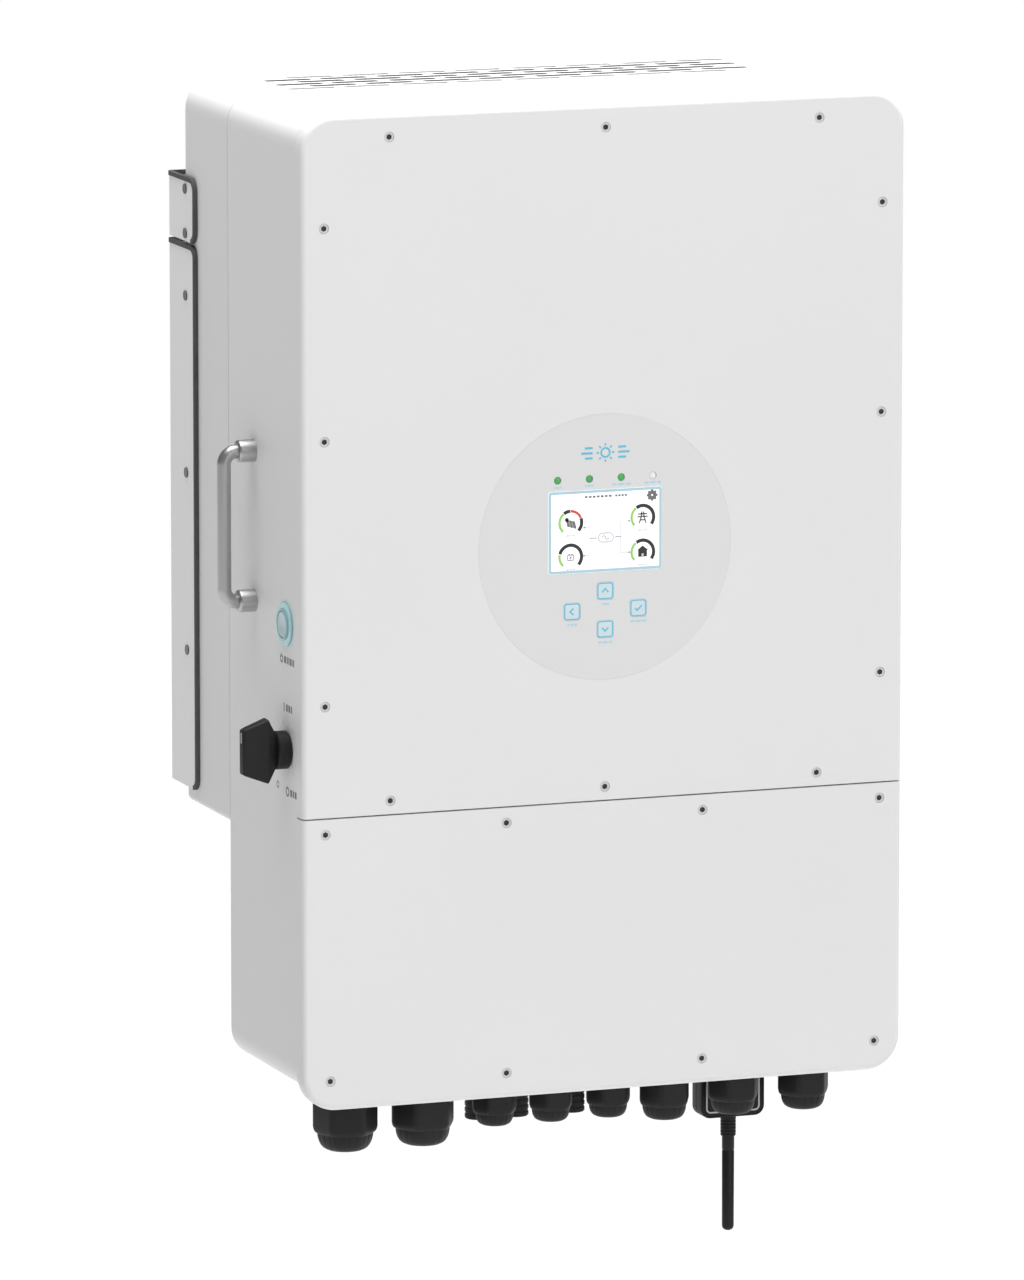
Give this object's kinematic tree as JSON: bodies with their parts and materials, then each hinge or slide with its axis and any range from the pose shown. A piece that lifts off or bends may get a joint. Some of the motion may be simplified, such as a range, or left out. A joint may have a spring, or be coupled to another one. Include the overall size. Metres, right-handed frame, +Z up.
{
  "type": "string inverter",
  "caption": "Wall-hung string inverter: sealed housing with display panel, side isolator knob, start button, carry handles, cable glands and a fan-cooled rear duct on a hook-on bracket.",
  "frame": {"origin": "centre of the wall bracket's bolt pattern, on the wall", "axes": "+Z up, +Y into the wall, +X to the right of a person facing the front"},
  "size_m": [0.4804, 0.281, 0.7845],
  "materials": {
    "coated_white": "fine matt powder coat",
    "coated_shroud": "fine matt powder coat",
    "sheet_metal": "galvanised sheet, satin",
    "zinc_sheet": "zinc coated, satin",
    "seal_rubber": "matt",
    "dark_screw": "dark zinc",
    "bright_screw": "zinc",
    "cast_aluminium": "extruded, satin",
    "handle_metal": "brushed satin",
    "black_plastic": "fine moulded texture",
    "knob_plastic": "fine moulded texture",
    "gland_plastic": "moulded nylon",
    "overlay_film": "matt printed film",
    "display_glass": "clear",
    "display_body": "display module",
    "circuit_board": "solder resist",
    "key_film": "printed film",
    "lamp_lens": "translucent",
    "ring_light": "translucent cyan",
    "bezel_plastic": "satin",
    "capacitor_can": "sleeved can",
    "inductor_core": "lacquered winding",
    "relay_case": "moulded",
    "terminal_plastic": "moulded",
    "wire_steel": "wire"
  },
  "bodies": {
    "wall_bracket": {"wall_bracket": "zinc_sheet"},
    "inverter": {"front_housing": "coated_white", "rear_shroud": "coated_shroud", "rear_joint_seal": "seal_rubber", "upper_cover": "coated_white", "lower_cover": "coated_white", "upper_cover_gasket": "seal_rubber", "lower_cover_gasket": "seal_rubber", "upper_cover_screws": "dark_screw", "lower_cover_screws": "dark_screw", "control_overlay": "overlay_film", "display_window": "display_glass", "display_module": "display_body", "display_board": "circuit_board", "led_lenses": "lamp_lens", "start_button_bezel": "bezel_plastic", "start_button_ring_light": "ring_light", "start_button_switch": "black_plastic", "dc_switch_body": "black_plastic", "left_handle_bar": "handle_metal", "right_handle_bar": "handle_metal", "left_handle_ferrules": "handle_metal", "right_handle_ferrules": "handle_metal", "handle_screws": "bright_screw", "rear_duct_plate": "sheet_metal", "hanger_plate": "sheet_metal", "hanger_screws": "bright_screw", "duct_plate_screws": "bright_screw", "heatsink": "cast_aluminium", "fan_frames": "black_plastic", "fan_screws": "bright_screw", "fan_guards": "wire_steel", "gland_bodies": "gland_plastic", "gland_dome_nuts": "gland_plastic", "gland_seals": "seal_rubber", "gland_locknuts": "gland_plastic", "pv_sockets": "black_plastic", "pv_socket_nuts": "black_plastic", "logger_body": "black_plastic", "logger_collar": "black_plastic", "antenna_ferrule": "black_plastic", "antenna_whip": "black_plastic", "power_modules": "relay_case", "power_board": "circuit_board", "dc_link_capacitors": "capacitor_can", "inductors": "inductor_core", "relays": "relay_case", "shield_plate": "cast_aluminium", "control_board": "circuit_board", "terminal_blocks": "terminal_plastic"},
    "dc_switch": {"dc_switch_knob": "knob_plastic", "dc_switch_shaft": "bright_screw"},
    "start_button": {"start_button_cap": "bezel_plastic"},
    "up_key": {"key_up": "key_film"},
    "left_key": {"key_left": "key_film"},
    "right_key": {"key_right": "key_film"},
    "down_key": {"key_down": "key_film"},
    "left_fan": {"fan_rotor_left": "black_plastic"},
    "middle_fan": {"fan_rotor_middle": "black_plastic"},
    "right_fan": {"fan_rotor_right": "black_plastic"}
  },
  "joints": [
    {"name": "lift_off", "type": "slide", "parent": "wall_bracket", "child": "inverter", "axis": [0, 0, 1], "range_m": [0, 0.02]},
    {"name": "dc_switch_turn", "type": "hinge", "parent": "inverter", "child": "dc_switch", "pos_m": [-0.2115, -0.248, -0.332], "axis": [-1, 0, 0], "range_deg": [0, 90]},
    {"name": "start_button_press", "type": "slide", "parent": "inverter", "child": "start_button", "axis": [1, 0, 0], "range_m": [0, 0.002], "stiffness_N_per_m": 600, "springref_m": -0.0005},
    {"name": "up_key_press", "type": "slide", "parent": "inverter", "child": "up_key", "axis": [0, 1, 0], "range_m": [0, 0.0006], "stiffness_N_per_m": 1500, "springref_m": -0.0003},
    {"name": "left_key_press", "type": "slide", "parent": "inverter", "child": "left_key", "axis": [0, 1, 0], "range_m": [0, 0.0006], "stiffness_N_per_m": 1500, "springref_m": -0.0003},
    {"name": "right_key_press", "type": "slide", "parent": "inverter", "child": "right_key", "axis": [0, 1, 0], "range_m": [0, 0.0006], "stiffness_N_per_m": 1500, "springref_m": -0.0003},
    {"name": "down_key_press", "type": "slide", "parent": "inverter", "child": "down_key", "axis": [0, 1, 0], "range_m": [0, 0.0006], "stiffness_N_per_m": 1500, "springref_m": -0.0003},
    {"name": "left_fan_spin", "type": "hinge", "parent": "inverter", "child": "left_fan", "pos_m": [-0.105, -0.086, -0.39], "axis": [0, 0, 1], "continuous": true},
    {"name": "middle_fan_spin", "type": "hinge", "parent": "inverter", "child": "middle_fan", "pos_m": [0, -0.086, -0.39], "axis": [0, 0, 1], "continuous": true},
    {"name": "right_fan_spin", "type": "hinge", "parent": "inverter", "child": "right_fan", "pos_m": [0.105, -0.086, -0.39], "axis": [0, 0, 1], "continuous": true}
  ]
}
